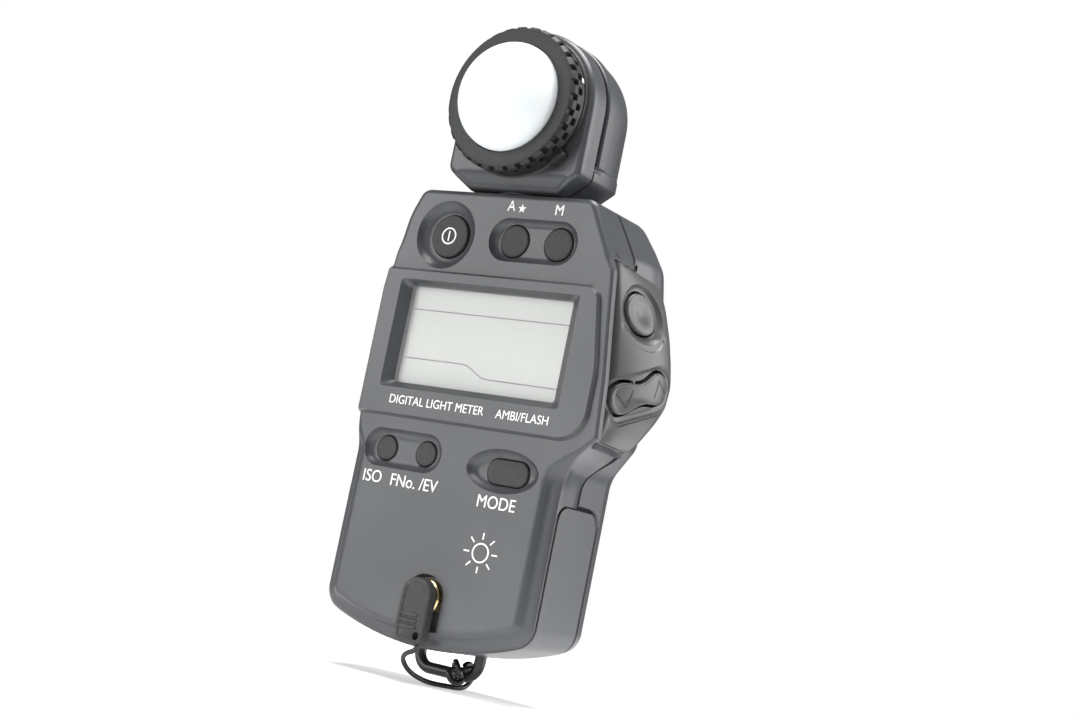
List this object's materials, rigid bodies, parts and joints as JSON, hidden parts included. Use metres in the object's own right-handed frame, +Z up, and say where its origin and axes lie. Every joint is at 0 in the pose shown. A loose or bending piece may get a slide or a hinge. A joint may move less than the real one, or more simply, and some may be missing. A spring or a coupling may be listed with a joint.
{
  "type": "handheld light meter",
  "caption": "Handheld light meter with a swivelling head, white dome receptor, display window, front and side keys, capped sync socket and strap eyelet.",
  "frame": {"origin": "on the head's swivel axis, level with the lowest point of the casing; the hand or clamp that holds the casing is taken to be there", "axes": "+Z up along the swivel axis towards the head, -Y out of the front with the display, +X towards the measuring key side"},
  "size_m": [0.0699, 0.0432, 0.1561],
  "materials": {
    "case": "fine spark-eroded moulded grain, satin",
    "side_panel": "fine moulded grain, satin",
    "window": "clear, polished",
    "display": "pale grey liquid crystal",
    "inner_plastic": "plain black moulding",
    "elastomer": "soft silicone",
    "circuit_board": "solder-resist green",
    "chip": "black epoxy",
    "key_rubber": "speckled soft-touch",
    "steel": "plain spring steel",
    "cell": "satin sleeve",
    "label": "blank foil plate",
    "screw": "black zinc",
    "brass": "turned, satin",
    "cap_rubber": "matt, dusty",
    "cord": "glossy black",
    "eyelet": "satin black moulding",
    "bushing": "natural acetal",
    "shaft": "turned",
    "cable": "grey sleeve",
    "filter": "blue-green colour-correction glass",
    "ring": "matt with fine spatter",
    "dome": "translucent white"
  },
  "bodies": {
    "case": {"front_shell": "case", "rear_shell": "case", "side_cap": "side_panel", "display_window": "window", "display_glass": "display", "display_holder": "inner_plastic", "display_connectors": "elastomer", "main_board": "circuit_board", "board_parts": "chip", "key_mat": "elastomer", "rocker_pin": "steel", "side_key_board": "circuit_board", "side_switches": "chip", "battery_cell": "cell", "battery_spring": "steel", "battery_contact": "steel", "back_label": "label", "body_screws": "screw", "sync_sleeve": "brass", "sync_insulator": "inner_plastic", "sync_contact": "brass", "cap_cord": "cord", "cord_knot": "cord", "strap_eyelet": "eyelet", "swivel_bushing": "bushing", "detent_ball": "steel", "detent_spring": "steel"},
    "power_key": {"power_key": "key_rubber"},
    "average_key": {"average_key": "key_rubber"},
    "memory_key": {"memory_key": "key_rubber"},
    "film_speed_key": {"film_speed_key": "key_rubber"},
    "f_number_key": {"f_number_key": "key_rubber"},
    "mode_key": {"mode_key": "key_rubber"},
    "measuring_key": {"measuring_key": "key_rubber"},
    "rocker": {"rocker_key": "key_rubber"},
    "battery_door": {"battery_door": "case"},
    "sync_cap": {"sync_cap": "cap_rubber"},
    "head": {"neck_shaft": "shaft", "neck_retainer": "steel", "head_front_shell": "case", "head_rear_shell": "case", "head_screws": "screw", "head_cable": "cable", "sensor": "chip", "sensor_board": "circuit_board", "diffuser_filter": "filter", "bayonet_base": "ring"},
    "receptor": {"dome_ring": "ring", "dome": "dome"}
  },
  "joints": [
    {"name": "power_key_press", "type": "slide", "parent": "case", "child": "power_key", "axis": [0, 1, 0], "range_m": [0, 0.0006], "stiffness_N_per_m": 250},
    {"name": "average_key_press", "type": "slide", "parent": "case", "child": "average_key", "axis": [0, 1, 0], "range_m": [0, 0.0006], "stiffness_N_per_m": 250},
    {"name": "memory_key_press", "type": "slide", "parent": "case", "child": "memory_key", "axis": [0, 1, 0], "range_m": [0, 0.0006], "stiffness_N_per_m": 250},
    {"name": "film_speed_key_press", "type": "slide", "parent": "case", "child": "film_speed_key", "axis": [0, 1, 0], "range_m": [0, 0.0006], "stiffness_N_per_m": 250},
    {"name": "f_number_key_press", "type": "slide", "parent": "case", "child": "f_number_key", "axis": [0, 1, 0], "range_m": [0, 0.0006], "stiffness_N_per_m": 250},
    {"name": "mode_key_press", "type": "slide", "parent": "case", "child": "mode_key", "axis": [0, 1, 0], "range_m": [0, 0.0006], "stiffness_N_per_m": 250},
    {"name": "measuring_key_press", "type": "slide", "parent": "case", "child": "measuring_key", "axis": [-0.9511, 0, -0.309], "range_m": [0, 0.0008], "stiffness_N_per_m": 300},
    {"name": "rocker_tilt", "type": "hinge", "parent": "case", "child": "rocker", "pos_m": [0.0368, 0.0002, 0.0658], "axis": [0, -0.4226, 0.9063], "range_deg": [-4, 4], "stiffness_Nm_per_rad": 0.03},
    {"name": "battery_door_slide", "type": "slide", "parent": "case", "child": "battery_door", "axis": [0, 0, -1], "range_m": [0, 0.012]},
    {"name": "sync_cap_pull", "type": "slide", "parent": "case", "child": "sync_cap", "axis": [0, -1, 0], "range_m": [0, 0.012]},
    {"name": "head_swivel", "type": "hinge", "parent": "case", "child": "head", "pos_m": [0, 0, 0.1074], "axis": [0, 0, 1], "range_deg": [-90, 180]},
    {"name": "receptor_turn", "type": "hinge", "parent": "head", "child": "receptor", "pos_m": [0, -0.019, 0.1287], "axis": [0, 1, 0], "range_deg": [0, 45]}
  ]
}
